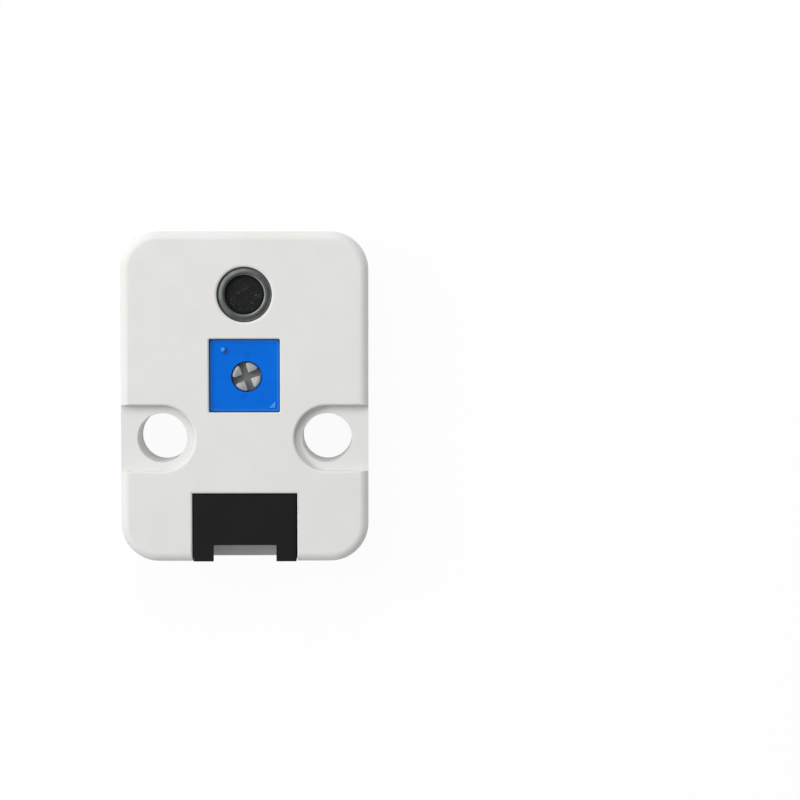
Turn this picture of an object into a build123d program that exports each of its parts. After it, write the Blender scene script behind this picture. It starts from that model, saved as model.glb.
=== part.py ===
from build123d import *
import os

os.makedirs("parts", exist_ok=True)

# A small microphone sensor module that lies on its back, in millimetres.
# The origin is the centre of the back face, the socket points to -Y and the face looks up.

# Case: two moulded halves that meet at the parting height
case_width = 24.0
case_length = 32.0
case_height = 8.0
corner_radius = 3.7
edge_round = 0.9
wall = 1.1
face_plate = 1.0
floor_plate = 1.0
parting_height = 4.0
cut_overrun = 1.0
bevel_angle = 45.0

# Two through holes on the 8 mm brick grid, each in a U-shaped pocket open to the side
grid_pitch = 8.0
hole_radius = 2.4
pocket_radius = 3.2
pocket_depth = 0.9
boss_wall = 1.0
pad_margin = 0.9
rim_bevel = 0.12
hole_x = grid_pitch
hole_y = -grid_pitch / 2

# Tongue of the front half inside the rebate of the back half, held by snap ridges
tongue_thickness = 0.5
tongue_depth = 0.8
tongue_gap = 0.05
snap_radius = 0.2
snap_length = 4.0
snap_from_end = 6.0

# Ledges under the board and ribs above it
rib_thickness = 1.0
rib_reach = 1.0
rib_from_end = 4.0
rib_gap = 0.05

# Circuit board
board_standoff = 0.6
board_thickness = 1.0
board_gap = 0.1
notch_gap = 0.25
board_bottom = floor_plate + board_standoff
board_top = board_bottom + board_thickness
board_width = case_width - 2 * (wall + board_gap)
board_length = case_length - 2 * (wall + board_gap)
board_corner = corner_radius - wall - board_gap

# Wire leads soldered through the board
lead_radius = 0.225
lead_hole_gap = 0.15
lead_below_board = 0.45
lead_seat_gap = 0.01
solder_pad_radius = 0.7
solder_height = 0.35
solder_crown = 0.1

# Electret microphone behind a round hole in the face
microphone_from_end = 6.1
microphone_hole_radius = 2.68
microphone_lip = 0.4
collar_gap = 0.1
collar_wall = 0.8
collar_depth = 2.0
can_radius = 3.0
can_sheet = 0.2
can_recess = 0.5
crest_radius = 2.15
crimp_reach = 0.65
crimp_bevel = 0.25
felt_radius = 1.85
felt_thickness = 0.25
felt_recess = 0.4
felt_gap = 0.03
felt_bevel = 0.08
sound_hole_radius = 0.4
capsule_gap = 0.05
diaphragm_height = 0.5
diaphragm_ring_width = 0.5
film_thickness = 0.05
spacer_thickness = 0.1
backplate_radius = 2.35
backplate_thickness = 0.3
backplate_hole_radius = 0.3
backplate_hole_circle = 1.2
backplate_hole_count = 4
contact_ring_radius = 2.2
contact_ring_wall = 0.35
capsule_board_thickness = 0.5
microphone_lead_pitch = 2.54
transistor_length = 1.6
transistor_width = 1.2
transistor_height = 0.8
microphone_y = case_length / 2 - microphone_from_end
microphone_centre = (0, microphone_y)
can_top = case_height - can_recess
dish_top = can_top - felt_recess - felt_thickness
dish_bottom = dish_top - can_sheet
capsule_radius = can_radius - can_sheet - capsule_gap
diaphragm_bottom = dish_bottom - diaphragm_height
backplate_top = diaphragm_bottom - spacer_thickness
backplate_bottom = backplate_top - backplate_thickness
capsule_board_bottom = board_top + can_sheet
capsule_board_top = capsule_board_bottom + capsule_board_thickness

# Trimmer potentiometer in its window
trimmer_from_microphone = 7.85
trimmer_width = 6.7
trimmer_length = 6.95
trimmer_recess = 0.5
trimmer_corner = 0.2
trimmer_bevel = 0.12
mark_height = 0.06
dot_radius = 0.22
dot_from_side = 1.27
dot_from_end = 0.95
arrow_size = 0.65
arrow_from_edge = 0.35
ejector_mark_radius = 0.28
ejector_mark_depth = 0.05
ejector_mark_reach = 2.0
ejector_mark_direction = 85.0
trimmer_foot_height = 0.3
trimmer_foot_size = 1.2
trimmer_side_wall = 0.5
trimmer_top_wall = 0.8
window_gap = 0.08
window_corner = 0.15
base_thickness = 0.5
element_thickness = 0.5
element_gap = 0.03
track_thickness = 0.04
track_inner = 1.5
track_outer = 2.2
track_break = 0.8
track_pad = 0.6
trimmer_pin_pitch = 2.54

# Rotor of the trimmer, with its seal, its stop lug and its wiper
rotor_offset_x = 0.2
rotor_offset_y = -0.1
rotor_radius = 1.42
rotor_recess = 0.12
running_gap = 0.08
rotor_bevel = 0.1
slot_width = 0.62
slot_depth = 0.7
flange_radius = 2.3
flange_play = 0.05
lug_reach = 0.25
lug_angle = 30.0
lug_play_angle = 1.0
rotor_travel = 240.0
rotor_stop_direction = -90.0
rotor_rest_angle = 110.0
seal_section = 0.48
seal_gap = 0.01
seal_play = 0.2
wiper_thickness = 0.15
wiper_outer = 2.1
wiper_inner = 1.3
wiper_bridge = 0.6
wiper_contact_radius = 0.2
wiper_contact_bevel = 0.1
wiper_lift = 0.4
wiper_contact_gap = 0.02
trimmer_y = microphone_y - trimmer_from_microphone
trimmer_centre = (0, trimmer_y)
trimmer_near = trimmer_y - trimmer_length / 2
trimmer_end = trimmer_y + trimmer_length / 2
trimmer_top = case_height - trimmer_recess
trimmer_bottom = board_top + trimmer_foot_height
element_bottom = trimmer_bottom + base_thickness
element_top = element_bottom + element_thickness
element_width = trimmer_width - 2 * (trimmer_side_wall + element_gap)
element_length = trimmer_length - 2 * (trimmer_side_wall + element_gap)
rotor_x = rotor_offset_x
rotor_y = trimmer_y + rotor_offset_y
rotor_centre = (rotor_x, rotor_y)
seal_height = seal_section + seal_play
seal_ceiling = trimmer_top - trimmer_top_wall
flange_ceiling = seal_ceiling - seal_height
flange_top = flange_ceiling - flange_play
wiper_bottom = element_top + wiper_lift
flange_bottom = wiper_bottom + wiper_thickness
rotor_top = trimmer_top - rotor_recess
seal_chamber_radius = rotor_radius + seal_section + 2 * seal_gap + running_gap / 2

# Four-way side-entry socket at the end of the case
socket_width = 10.0
socket_length = 6.55
socket_recess = 0.1
socket_gap = 0.1
socket_side_gap = 0.1
socket_side_wall = 0.75
socket_top_wall = 0.75
socket_bottom_wall = 0.6
socket_rear_wall = 0.9
socket_notch_width = 6.1
socket_notch_depth = 1.6
socket_lead_in = 0.25
socket_bevel = 0.1
sill_gap = 0.1
pin_count = 4
pin_pitch = 2.0
pin_size = 0.5
pin_hole_gap = 0.02
pin_setback = 1.7
pin_bend = 0.4
pin_drop = 0.55
pin_foot = 0.9
tab_thickness = 0.25
tab_height = 1.8
tab_foot = 1.2
tab_length = 2.4
tab_from_mouth = 2.2
socket_mouth = -case_length / 2
socket_back = socket_mouth + socket_length
socket_top = case_height - socket_recess
sill_top = board_top - sill_gap
pin_level = (board_top + socket_bottom_wall + socket_top - socket_top_wall) / 2
pin_rows = [pin_pitch * (i - (pin_count - 1) / 2) for i in range(pin_count)]

# Comparator in an eight-lead package, with its leads towards the ends of the module
comparator_length = 4.9
comparator_width = 3.9
comparator_height = 1.4
comparator_standoff = 0.1
comparator_draft = 6.0
comparator_span = 6.0
comparator_edge = 1.3
comparator_lead_pitch = 1.27
comparator_lead_width = 0.42
comparator_lead_thickness = 0.2
comparator_lead_foot = 0.55
comparator_lead_shoulder = 0.3
comparator_leads_per_side = 4
comparator_dot_radius = 0.3
comparator_dot_depth = 0.06
comparator_dot_from_edge = 0.8
comparator_from_microphone = 2.3
comparator_x = -(board_width / 2 - comparator_edge - comparator_length / 2)
comparator_y = microphone_y - comparator_from_microphone
lead_knee = comparator_width / 2 + comparator_lead_shoulder
lead_ankle = comparator_span / 2 - comparator_lead_foot

# Chip resistors right of the trimmer and chip capacitors beside the socket
chip_length = 1.6
chip_width = 0.8
chip_terminal = 0.3
resistor_height = 0.45
resistor_columns = 2
resistor_rows = 3
resistor_column_pitch = 2.4
resistor_row_pitch = 1.6
resistor_edge = 3.8
resistor_from_microphone = 3.4
capacitor_height = 0.8
capacitor_edge = 2.5
capacitor_from_end = 3.7
resistor_centre = (board_width / 2 - resistor_edge, microphone_y - resistor_from_microphone)
capacitor_x = board_width / 2 - capacitor_edge
capacitor_y = -case_length / 2 + capacitor_from_end

# Places of the leads that pass through the board
microphone_lead_places = [
    (-microphone_lead_pitch / 2, microphone_y),
    (microphone_lead_pitch / 2, microphone_y),
]
trimmer_pin_places = [
    (-trimmer_pin_pitch, trimmer_y - trimmer_pin_pitch / 2),
    (trimmer_pin_pitch, trimmer_y - trimmer_pin_pitch / 2),
    (0, trimmer_y + trimmer_pin_pitch / 2),
]
lead_places = microphone_lead_places + trimmer_pin_places
lead_bottom = board_bottom - lead_below_board


def side_slots(radius, reach, mode=Mode.ADD):
    """Draws a U round each through hole, open towards its side of the case as far as reach."""
    with Locations((hole_x, hole_y), (-hole_x, hole_y)):
        Circle(radius, mode=mode)
    for side in (-1, 1):
        with Locations((side * (hole_x + reach) / 2, hole_y)):
            Rectangle(reach - hole_x, 2 * radius, mode=mode)


def half_case(parting, depth, plate):
    """Moulds one open half of the case, from its parting plane outwards."""
    outward = Axis(parting.origin, parting.z_dir)
    pad_height = depth - pocket_depth - plate
    with BuildPart() as half:
        with BuildSketch(parting):
            RectangleRounded(case_width, case_length, corner_radius)
        extrude(amount=depth)
        fillet(half.faces().sort_by(outward)[-1].edges(), edge_round)
        with BuildSketch(parting):
            RectangleRounded(case_width - 2 * wall, case_length - 2 * wall, corner_radius - wall)
        extrude(amount=depth - plate, mode=Mode.SUBTRACT)
        with BuildSketch(parting.offset(pad_height)):
            side_slots(pocket_radius + pad_margin, case_width / 2)
            Rectangle(case_width - wall, case_length - wall, mode=Mode.INTERSECT)
        extrude(amount=pocket_depth)
        with BuildSketch(parting):
            with Locations((hole_x, hole_y), (-hole_x, hole_y)):
                Circle(hole_radius + boss_wall)
        extrude(amount=pad_height)
        with BuildSketch(parting.offset(depth - pocket_depth)):
            side_slots(pocket_radius, case_width / 2 + cut_overrun)
        extrude(amount=pocket_depth, mode=Mode.SUBTRACT)
        with BuildSketch(parting.offset(depth)):
            side_slots(pocket_radius + rim_bevel, case_width / 2 + cut_overrun)
        extrude(amount=-rim_bevel, taper=bevel_angle, mode=Mode.SUBTRACT)
        with BuildSketch(parting):
            with Locations((hole_x, hole_y), (-hole_x, hole_y)):
                Circle(hole_radius)
        extrude(amount=depth, mode=Mode.SUBTRACT)
    return half.part


def rib_feet():
    """Draws the four feet, on the long walls, where ledge and rib grip the board."""
    inner = case_width / 2 - wall
    reach = rib_reach + board_gap
    for side in (-1, 1):
        with Locations(
            (side * (inner - reach / 2), case_length / 2 - rib_from_end),
            (side * (inner - reach / 2), -case_length / 2 + rib_from_end),
        ):
            Rectangle(reach, rib_thickness)


def snap_bars(radius):
    """Makes the round bars on the long walls that click the two halves together."""
    level = parting_height - tongue_depth / 2
    face_x = case_width / 2 - wall + tongue_thickness
    with BuildPart() as bars:
        for end in (-1, 1):
            with BuildSketch(Plane.XZ.offset(end * (case_length / 2 - snap_from_end))):
                with Locations((-face_x, level), (face_x, level)):
                    Circle(radius)
            extrude(amount=snap_length / 2, both=True)
    return bars.part


def sector(centre, radius, start, sweep, mode=Mode.ADD):
    """Draws a pie slice round centre, with its angles in degrees."""
    with BuildLine() as outline:
        arc = CenterArc(centre, radius, start, sweep)
        Polyline(arc @ 1, centre, arc @ 0)
    make_face(outline.edges(), mode=mode)


# Front shell: the white cover with the collar round the microphone, the trimmer's window,
# the socket's cut-out, the board's ribs and the tongue that enters the back shell
front_parting = Plane.XY.offset(parting_height)
front_depth = case_height - parting_height
cut_out_length = socket_length + socket_gap
with BuildPart() as front_shell:
    add(half_case(front_parting, front_depth, face_plate))
    with BuildSketch(front_parting):
        RectangleRounded(
            case_width - 2 * (wall - tongue_thickness),
            case_length - 2 * (wall - tongue_thickness),
            corner_radius - wall + tongue_thickness,
        )
        RectangleRounded(
            case_width - 2 * wall,
            case_length - 2 * wall,
            corner_radius - wall,
            mode=Mode.SUBTRACT,
        )
    extrude(amount=-tongue_depth)
    with BuildSketch(Plane.XY.offset(board_top + rib_gap)):
        rib_feet()
    extrude(amount=case_height - face_plate - board_top - rib_gap)
    with BuildSketch(Plane.XY.offset(case_height - face_plate - collar_depth)):
        with Locations(microphone_centre):
            Circle(can_radius + collar_gap + collar_wall)
    extrude(amount=collar_depth)
    with BuildSketch(Plane.XY.offset(case_height - face_plate - collar_depth)):
        with Locations(microphone_centre):
            Circle(can_radius + collar_gap)
    extrude(amount=collar_depth + face_plate - microphone_lip, mode=Mode.SUBTRACT)
    with BuildSketch(Plane.XY.offset(case_height - microphone_lip)):
        with Locations(microphone_centre):
            Circle(microphone_hole_radius)
    extrude(amount=microphone_lip, mode=Mode.SUBTRACT)
    with BuildSketch(Plane.XY.offset(case_height - face_plate - collar_depth)):
        with Locations(trimmer_centre):
            RectangleRounded(
                trimmer_width + 2 * window_gap,
                trimmer_length + 2 * window_gap,
                window_corner,
            )
    extrude(amount=collar_depth + face_plate, mode=Mode.SUBTRACT)
    with BuildSketch(front_parting.offset(-tongue_depth)):
        with Locations((0, socket_mouth - cut_overrun)):
            Rectangle(
                socket_width + 2 * socket_side_gap,
                cut_out_length + cut_overrun,
                align=(Align.CENTER, Align.MIN),
            )
    extrude(amount=front_depth + tongue_depth, mode=Mode.SUBTRACT)
    with BuildSketch(Plane.XY.offset(case_height)):
        with Locations(microphone_centre):
            Circle(microphone_hole_radius + rim_bevel)
        with Locations(trimmer_centre):
            RectangleRounded(
                trimmer_width + 2 * (window_gap + rim_bevel),
                trimmer_length + 2 * (window_gap + rim_bevel),
                window_corner + rim_bevel,
            )
        with Locations((0, socket_mouth - cut_overrun)):
            Rectangle(
                socket_width + 2 * (socket_side_gap + rim_bevel),
                cut_out_length + cut_overrun + rim_bevel,
                align=(Align.CENTER, Align.MIN),
            )
    extrude(amount=-rim_bevel, taper=bevel_angle, mode=Mode.SUBTRACT)
    add(snap_bars(snap_radius))
front_shell.part.label = "front_shell"
export_step(front_shell.part, "parts/front_shell.step")


# Back shell: the white base with the ledges under the board, the rebate for the tongue,
# the sill below the socket and its own half of pockets and bores
back_parting = Plane(origin=(0, 0, parting_height), x_dir=(-1, 0, 0), z_dir=(0, 0, -1))
with BuildPart() as back_shell:
    add(half_case(back_parting, parting_height, floor_plate))
    with BuildSketch(back_parting):
        RectangleRounded(
            case_width - 2 * (wall - tongue_thickness - tongue_gap),
            case_length - 2 * (wall - tongue_thickness - tongue_gap),
            corner_radius - wall + tongue_thickness + tongue_gap,
        )
        RectangleRounded(
            case_width - 2 * (wall + tongue_gap),
            case_length - 2 * (wall + tongue_gap),
            corner_radius - wall - tongue_gap,
            mode=Mode.SUBTRACT,
        )
    extrude(amount=tongue_depth + tongue_gap, mode=Mode.SUBTRACT)
    with BuildSketch(Plane.XY.offset(floor_plate)):
        rib_feet()
        with Locations((0, -case_length / 2 + rib_from_end)):
            Rectangle(socket_width, rib_thickness)
    extrude(amount=board_standoff)
    with BuildSketch(Plane.XY.offset(sill_top)):
        with Locations((0, socket_mouth - cut_overrun)):
            Rectangle(
                socket_width + 2 * socket_side_gap,
                wall + board_gap + cut_overrun,
                align=(Align.CENTER, Align.MIN),
            )
    extrude(amount=parting_height - sill_top, mode=Mode.SUBTRACT)
    add(snap_bars(snap_radius + tongue_gap), mode=Mode.SUBTRACT)
back_shell.part.label = "back_shell"
export_step(back_shell.part, "parts/back_shell.step")

# Circuit board, waisted between the two bosses and drilled for the wire leads
with BuildPart() as circuit_board:
    with BuildSketch(Plane.XY.offset(board_bottom)):
        RectangleRounded(board_width, board_length, board_corner)
        side_slots(pocket_radius + pad_margin + notch_gap, case_width / 2, Mode.SUBTRACT)
        with Locations(*lead_places):
            Circle(lead_radius + lead_hole_gap, mode=Mode.SUBTRACT)
    extrude(amount=board_thickness)
circuit_board.part.label = "circuit_board"
export_step(circuit_board.part, "parts/circuit_board.step")

# Solder cones under the board, one round each wire lead
with BuildPart() as solder_joints:
    with Locations(*[(x, y, board_bottom) for x, y in lead_places]):
        Cone(
            lead_radius + solder_crown,
            solder_pad_radius,
            solder_height,
            align=(Align.CENTER, Align.CENTER, Align.MAX),
        )
        Cylinder(
            lead_radius + lead_seat_gap,
            solder_height,
            align=(Align.CENTER, Align.CENTER, Align.MAX),
            mode=Mode.SUBTRACT,
        )
solder_joints.part.label = "solder_joints"
export_step(solder_joints.part, "parts/solder_joints.step")

# Microphone can: drawn from one sheet, rolled to a crest round the dished front and crimped
# under the capsule's board
microphone_axis = Axis((0, microphone_y, 0), (0, 0, 1))
roll_radius = can_radius - crest_radius
dish_radius = felt_radius + felt_gap
lip_radius = crest_radius - dish_radius
with BuildPart() as microphone_can:
    with BuildSketch(Plane.XZ.offset(-microphone_y)):
        with BuildLine():
            crest_centre = (crest_radius, can_top - roll_radius)
            crest = CenterArc(crest_centre, roll_radius, 0, 90)
            lip = CenterArc((crest_radius, can_top - lip_radius), lip_radius, 90, 90)
            inside = CenterArc(crest_centre, roll_radius - can_sheet, 0, 90, mode=Mode.PRIVATE)
            Polyline(
                lip @ 1,
                (dish_radius, dish_top),
                (sound_hole_radius, dish_top),
                (sound_hole_radius, dish_bottom),
                (dish_radius + can_sheet, dish_bottom),
                (dish_radius + can_sheet, can_top - lip_radius),
                inside @ 1,
                inside @ (1 / 2),
                inside @ 0,
                (can_radius - can_sheet, capsule_board_bottom),
                (can_radius - crimp_reach, capsule_board_bottom),
                (can_radius - crimp_reach, board_top),
                (can_radius - crimp_bevel, board_top),
                (can_radius, board_top + crimp_bevel),
                crest @ 0,
            )
        make_face()
    revolve(axis=microphone_axis)
microphone_can.part.label = "microphone_can"
export_step(microphone_can.part, "parts/microphone_can.step")

# Felt disc glued into the can's dish
with BuildPart() as microphone_felt:
    with BuildSketch(Plane.XY.offset(dish_top)):
        with Locations(microphone_centre):
            Circle(felt_radius)
    extrude(amount=felt_thickness)
    chamfer(microphone_felt.faces().sort_by(Axis.Z)[-1].edges(), felt_bevel)
microphone_felt.part.label = "microphone_felt"
export_step(microphone_felt.part, "parts/microphone_felt.step")

# Diaphragm: a thin film stretched over the lower side of its ring
with BuildPart() as microphone_diaphragm:
    with BuildSketch(Plane.XY.offset(diaphragm_bottom)):
        with Locations(microphone_centre):
            Circle(capsule_radius)
    extrude(amount=film_thickness)
    with BuildSketch(Plane.XY.offset(diaphragm_bottom + film_thickness)):
        with Locations(microphone_centre):
            Circle(capsule_radius)
            Circle(capsule_radius - diaphragm_ring_width, mode=Mode.SUBTRACT)
    extrude(amount=diaphragm_height - film_thickness)
microphone_diaphragm.part.label = "microphone_diaphragm"
export_step(microphone_diaphragm.part, "parts/microphone_diaphragm.step")

# Spacer washer that sets the gap between film and backplate
with BuildPart() as microphone_spacer:
    with BuildSketch(Plane.XY.offset(backplate_top)):
        with Locations(microphone_centre):
            Circle(capsule_radius)
            Circle(capsule_radius - diaphragm_ring_width, mode=Mode.SUBTRACT)
    extrude(amount=spacer_thickness)
microphone_spacer.part.label = "microphone_spacer"
export_step(microphone_spacer.part, "parts/microphone_spacer.step")

# Backplate with its ring of air holes
with BuildPart() as microphone_backplate:
    with BuildSketch(Plane.XY.offset(backplate_bottom)):
        with Locations(microphone_centre):
            Circle(backplate_radius)
            with PolarLocations(backplate_hole_circle, backplate_hole_count):
                Circle(backplate_hole_radius, mode=Mode.SUBTRACT)
    extrude(amount=backplate_thickness)
microphone_backplate.part.label = "microphone_backplate"
export_step(microphone_backplate.part, "parts/microphone_backplate.step")

# Insulating holder round the backplate
with BuildPart() as microphone_holder:
    with BuildSketch(Plane.XY.offset(capsule_board_top)):
        with Locations(microphone_centre):
            Circle(capsule_radius)
            Circle(backplate_radius + capsule_gap, mode=Mode.SUBTRACT)
    extrude(amount=backplate_top - capsule_board_top)
microphone_holder.part.label = "microphone_holder"
export_step(microphone_holder.part, "parts/microphone_holder.step")

# Contact ring that carries the backplate on the capsule's board
with BuildPart() as microphone_contact_ring:
    with BuildSketch(Plane.XY.offset(capsule_board_top)):
        with Locations(microphone_centre):
            Circle(contact_ring_radius)
            Circle(contact_ring_radius - contact_ring_wall, mode=Mode.SUBTRACT)
    extrude(amount=backplate_bottom - capsule_board_top)
microphone_contact_ring.part.label = "microphone_contact_ring"
export_step(microphone_contact_ring.part, "parts/microphone_contact_ring.step")

# Round board that closes the capsule above the crimp
with BuildPart() as microphone_board:
    with BuildSketch(Plane.XY.offset(capsule_board_bottom)):
        with Locations(microphone_centre):
            Circle(capsule_radius)
    extrude(amount=capsule_board_thickness)
microphone_board.part.label = "microphone_board"
export_step(microphone_board.part, "parts/microphone_board.step")

# Transistor on the capsule's board
with BuildPart() as microphone_transistor:
    with BuildSketch(Plane.XY.offset(capsule_board_top)):
        with Locations(microphone_centre):
            Rectangle(transistor_length, transistor_width)
    extrude(amount=transistor_height)
microphone_transistor.part.label = "microphone_transistor"
export_step(microphone_transistor.part, "parts/microphone_transistor.step")

# Two wire leads from the capsule through the circuit board
with BuildPart() as microphone_leads:
    with BuildSketch(Plane.XY.offset(lead_bottom)):
        with Locations(*microphone_lead_places):
            Circle(lead_radius)
    extrude(amount=capsule_board_bottom - lead_bottom)
microphone_leads.part.label = "microphone_leads"
export_step(microphone_leads.part, "parts/microphone_leads.step")

# Trimmer housing: four feet, a bevelled top with its dot, its arrow and two ejector marks, a
# recess for element and base, the chamber and the stop channel of the rotor's flange, the
# seal's chamber and the hole for the rotor
channel_start = rotor_stop_direction + (360 - rotor_travel - lug_angle) / 2 - lug_play_angle
channel_sweep = rotor_travel + lug_angle + 2 * lug_play_angle
with BuildPart() as trimmer_housing:
    with BuildSketch(Plane.XY.offset(board_top)):
        with Locations(trimmer_centre):
            RectangleRounded(trimmer_width, trimmer_length, trimmer_corner)
    extrude(amount=trimmer_top - board_top)
    chamfer(trimmer_housing.faces().sort_by(Axis.Z)[-1].edges(), trimmer_bevel)
    with BuildSketch(Plane.XY.offset(board_top)):
        with Locations(trimmer_centre):
            Rectangle(trimmer_width, trimmer_length - 2 * trimmer_foot_size)
            Rectangle(trimmer_width - 2 * trimmer_foot_size, trimmer_length)
    extrude(amount=trimmer_foot_height, mode=Mode.SUBTRACT)
    with BuildSketch(Plane.XY.offset(board_top)):
        with Locations(trimmer_centre):
            Rectangle(
                trimmer_width - 2 * trimmer_side_wall,
                trimmer_length - 2 * trimmer_side_wall,
            )
    extrude(amount=element_top - board_top, mode=Mode.SUBTRACT)
    with BuildSketch(Plane.XY.offset(element_top)):
        with Locations(rotor_centre):
            Circle(flange_radius + running_gap)
        sector(
            rotor_centre,
            flange_radius + lug_reach + running_gap,
            channel_start,
            channel_sweep,
        )
    extrude(amount=flange_ceiling - element_top, mode=Mode.SUBTRACT)
    with BuildSketch(Plane.XY.offset(flange_ceiling)):
        with Locations(rotor_centre):
            Circle(seal_chamber_radius)
    extrude(amount=seal_height, mode=Mode.SUBTRACT)
    with BuildSketch(Plane.XY.offset(seal_ceiling)):
        with Locations(rotor_centre):
            Circle(rotor_radius + running_gap)
    extrude(amount=trimmer_top_wall, mode=Mode.SUBTRACT)
    with BuildSketch(Plane.XY.offset(trimmer_top)):
        with Locations((dot_from_side - trimmer_width / 2, trimmer_end - dot_from_end)):
            Circle(dot_radius)
        with Locations((trimmer_width / 2 - arrow_from_edge, trimmer_near + arrow_from_edge)):
            Polygon((0, 0), (0, arrow_size), (-arrow_size, 0), align=None)
    extrude(amount=mark_height)
    with BuildSketch(Plane.XY.offset(trimmer_top)):
        with Locations(Location((rotor_x, rotor_y), ejector_mark_direction)):
            with Locations((-ejector_mark_reach, 0), (ejector_mark_reach, 0)):
                Circle(ejector_mark_radius)
    extrude(amount=-ejector_mark_depth, mode=Mode.SUBTRACT)
trimmer_housing.part.label = "trimmer_housing"
export_step(trimmer_housing.part, "parts/trimmer_housing.step")

# Rotor: a cross-slotted head on a flange with the stop lug
with BuildPart() as trimmer_rotor:
    with BuildSketch(Plane.XY.offset(flange_bottom)):
        with Locations(rotor_centre):
            Circle(flange_radius)
        sector(
            rotor_centre,
            flange_radius + lug_reach,
            rotor_rest_angle - lug_angle / 2,
            lug_angle,
        )
    extrude(amount=flange_top - flange_bottom)
    with BuildSketch(Plane.XY.offset(flange_top)):
        with Locations(rotor_centre):
            Circle(rotor_radius)
    extrude(amount=rotor_top - flange_top)
    chamfer(trimmer_rotor.faces().sort_by(Axis.Z)[-1].edges(), rotor_bevel)
    with BuildSketch(Plane.XY.offset(rotor_top - slot_depth)):
        with Locations(Location((rotor_x, rotor_y), rotor_rest_angle)):
            Rectangle(2 * (rotor_radius + running_gap), slot_width)
            Rectangle(slot_width, 2 * (rotor_radius + running_gap))
    extrude(amount=slot_depth, mode=Mode.SUBTRACT)
trimmer_rotor.part.label = "trimmer_rotor"
export_step(trimmer_rotor.part, "parts/trimmer_rotor.step")

# Square-cut rubber seal round the rotor's head, in the middle of its chamber
with BuildPart() as trimmer_seal:
    with BuildSketch(Plane.XY.offset(seal_ceiling - seal_play / 2)):
        with Locations(rotor_centre):
            Circle(rotor_radius + seal_gap + seal_section)
            Circle(rotor_radius + seal_gap, mode=Mode.SUBTRACT)
    extrude(amount=-seal_section)
trimmer_seal.part.label = "trimmer_seal"
export_step(trimmer_seal.part, "parts/trimmer_seal.step")

# Wiper: a stamped ring with a bridge, one contact over the track and one over the centre pad
contact_level = element_top + track_thickness + wiper_contact_gap
track_middle = (track_inner + track_outer) / 2
with BuildPart() as trimmer_wiper:
    with BuildSketch(Plane.XY.offset(wiper_bottom)):
        with Locations(rotor_centre):
            Circle(wiper_outer)
            Circle(wiper_inner, mode=Mode.SUBTRACT)
        with Locations(Location((rotor_x, rotor_y), rotor_rest_angle)):
            Rectangle(wiper_outer + wiper_inner, wiper_bridge)
    extrude(amount=wiper_thickness)
    with BuildSketch(Plane.XY.offset(contact_level)):
        with Locations(Location((rotor_x, rotor_y), rotor_rest_angle)):
            with Locations((0, 0), (-track_middle, 0)):
                Circle(wiper_contact_radius)
    extrude(amount=wiper_bottom - contact_level)
    chamfer(trimmer_wiper.faces().group_by(Axis.Z)[0].edges(), wiper_contact_bevel)
trimmer_wiper.part.label = "trimmer_wiper"
export_step(trimmer_wiper.part, "parts/trimmer_wiper.step")

# Resistance element: a ceramic plate with the printed track and its centre pad
with BuildPart() as trimmer_element:
    with BuildSketch(Plane.XY.offset(element_bottom)):
        with Locations(trimmer_centre):
            Rectangle(element_width, element_length)
    extrude(amount=element_thickness)
    with BuildSketch(Plane.XY.offset(element_top)):
        with Locations(rotor_centre):
            Circle(track_outer)
            Circle(track_inner, mode=Mode.SUBTRACT)
        with Locations(Location((rotor_x, rotor_y), rotor_stop_direction)):
            Rectangle(
                track_outer,
                track_break,
                align=(Align.MIN, Align.CENTER),
                mode=Mode.SUBTRACT,
            )
        with Locations(rotor_centre):
            Circle(track_pad)
    extrude(amount=track_thickness)
trimmer_element.part.label = "trimmer_element"
export_step(trimmer_element.part, "parts/trimmer_element.step")

# Base plate that closes the trimmer and holds its pins
with BuildPart() as trimmer_base:
    with BuildSketch(Plane.XY.offset(trimmer_bottom)):
        with Locations(trimmer_centre):
            Rectangle(element_width, element_length)
        with Locations(*trimmer_pin_places):
            Circle(lead_radius + lead_seat_gap, mode=Mode.SUBTRACT)
    extrude(amount=base_thickness)
trimmer_base.part.label = "trimmer_base"
export_step(trimmer_base.part, "parts/trimmer_base.step")

# Three pins of the trimmer
with BuildPart() as trimmer_pins:
    with BuildSketch(Plane.XY.offset(lead_bottom)):
        with Locations(*trimmer_pin_places):
            Circle(lead_radius)
    extrude(amount=element_bottom - lead_bottom)
trimmer_pins.part.label = "trimmer_pins"
export_step(trimmer_pins.part, "parts/trimmer_pins.step")

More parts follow.
